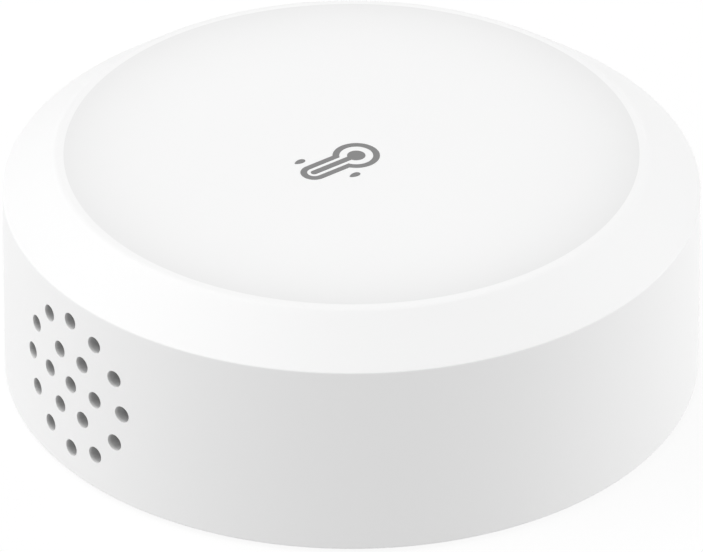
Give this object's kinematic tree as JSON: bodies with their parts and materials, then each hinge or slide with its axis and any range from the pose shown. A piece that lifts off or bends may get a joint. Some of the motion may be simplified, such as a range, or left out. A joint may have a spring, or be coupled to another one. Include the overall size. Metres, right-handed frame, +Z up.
{
  "type": "temperature humidity sensor",
  "caption": "Round white battery-powered room sensor: dished top with a thermometer mark, bevelled shoulder, a round group of air vents and a twist-off base.",
  "frame": {"origin": "on the round axis, in the plane of the base cover's underside", "axes": "+Z up along the round axis, -Y towards the vents in the wall, +X to the right seen from the vents"},
  "size_m": [0.05, 0.05, 0.0177],
  "materials": {
    "housing_plastic": "fine matt white moulded plastic",
    "cover_plastic": "fine matt white moulded plastic",
    "screen_cloth": "fine grey woven screen",
    "foam": "dark closed-cell foam",
    "board_resin": "green solder mask over glass laminate",
    "module_resin": "dark blue solder mask",
    "screw_steel": "zinc-plated steel",
    "cell_steel": "nickel-plated steel",
    "spring_metal": "tin-plated spring strip",
    "shield_metal": "tin-plated sheet",
    "copper": "gold-flashed copper",
    "seal_nylon": "natural nylon",
    "cell_powder": "pressed dark powder",
    "cell_metal": "soft pale metal",
    "separator_paper": "thin felt",
    "holder_plastic": "black moulded plastic",
    "switch_plastic": "black moulded plastic",
    "plunger_plastic": "pale moulded plastic",
    "chip_resin": "black moulding resin",
    "chip_ceramic": "fired ceramic with plated ends",
    "light_resin": "clear resin"
  },
  "bodies": {
    "base": {"base_cover": "cover_plastic"},
    "housing": {"housing": "housing_plastic", "vent_screen": "screen_cloth", "sensor_gasket": "foam", "main_board": "board_resin", "board_screws": "screw_steel", "sensor_chip": "chip_resin", "cell_can": "cell_steel", "cell_cap": "cell_steel", "cell_gasket": "seal_nylon", "cell_cathode": "cell_powder", "cell_separator": "separator_paper", "cell_anode": "cell_metal", "battery_holder": "holder_plastic", "negative_contact": "spring_metal", "positive_contact": "spring_metal", "radio_module": "module_resin", "module_shield": "shield_metal", "module_antenna": "copper", "switch_body": "switch_plastic", "switch_cover": "shield_metal", "switch_dome": "spring_metal", "switch_terminals": "spring_metal", "status_light": "chip_ceramic", "light_lens": "light_resin", "capacitors": "chip_ceramic", "resistors": "chip_resin", "buffer_capacitor": "chip_resin"},
    "plunger": {"switch_plunger": "plunger_plastic"}
  },
  "joints": [
    {"name": "housing_twist", "type": "hinge", "parent": "base", "child": "housing", "pos_m": [0, 0, 0], "axis": [0, 0, 1], "range_deg": [0, 25]},
    {"name": "plunger_press", "type": "slide", "parent": "housing", "child": "plunger", "axis": [0, 0, 1], "range_m": [0, 0.00025], "stiffness_N_per_m": 400, "springref_m": -0.0015, "deforming": ["switch_dome"]}
  ]
}
